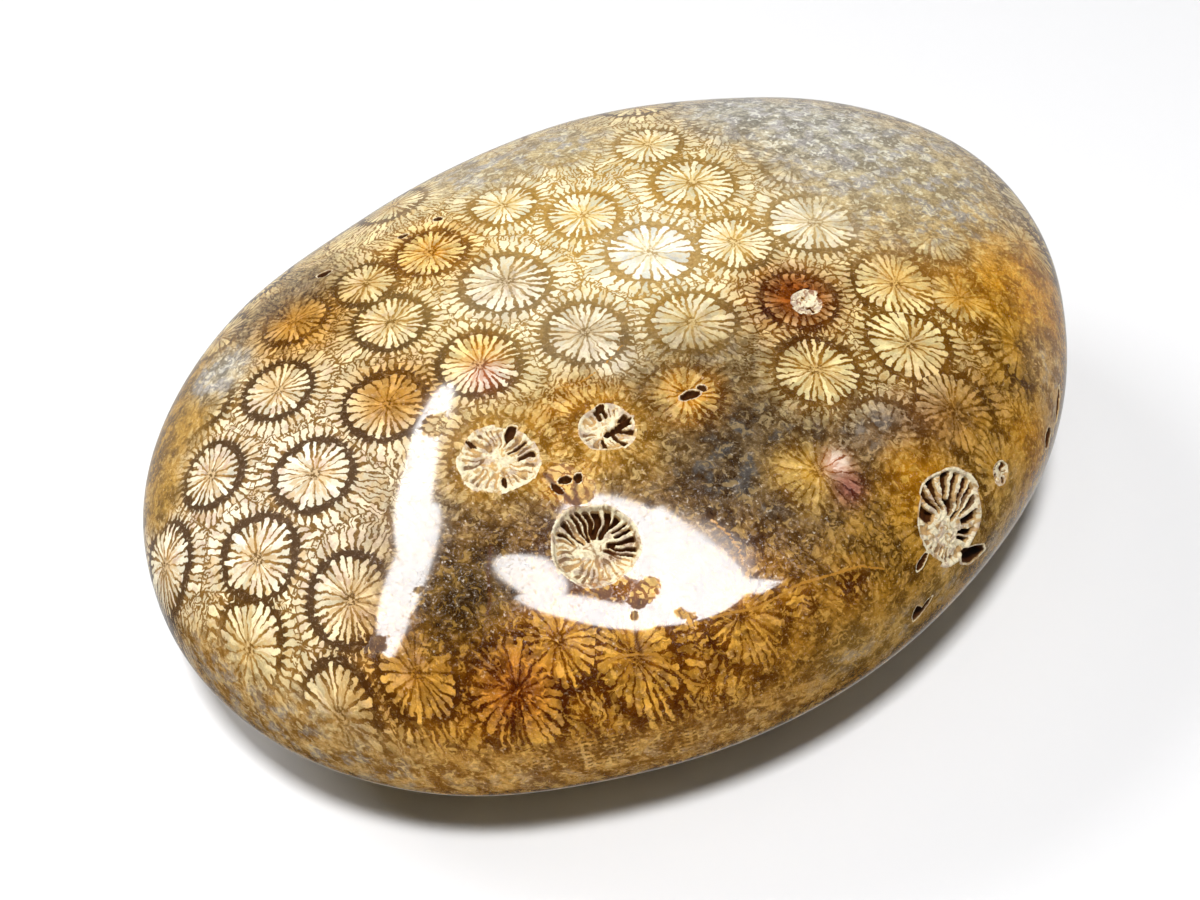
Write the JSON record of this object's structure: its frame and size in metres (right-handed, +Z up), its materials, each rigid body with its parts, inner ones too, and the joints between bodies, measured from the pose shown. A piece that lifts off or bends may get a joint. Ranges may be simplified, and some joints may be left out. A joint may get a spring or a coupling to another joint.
{
  "type": "polished fossil coral stone",
  "caption": "Oval, domed stone of agatized fossil coral, polished all over, with worn-open star-shaped calices and a small flat to rest on.",
  "frame": {"origin": "bottom centre of the bounding box, on the plane that the stone stands on", "axes": "+X along the stone's length, +Y across its width, +Z up out of the dome"},
  "size_m": [0.074, 0.0532, 0.0244],
  "materials": {
    "agatized_coral": "polished"
  },
  "bodies": {
    "root": {"fossil_coral": "agatized_coral"}
  },
  "joints": []
}
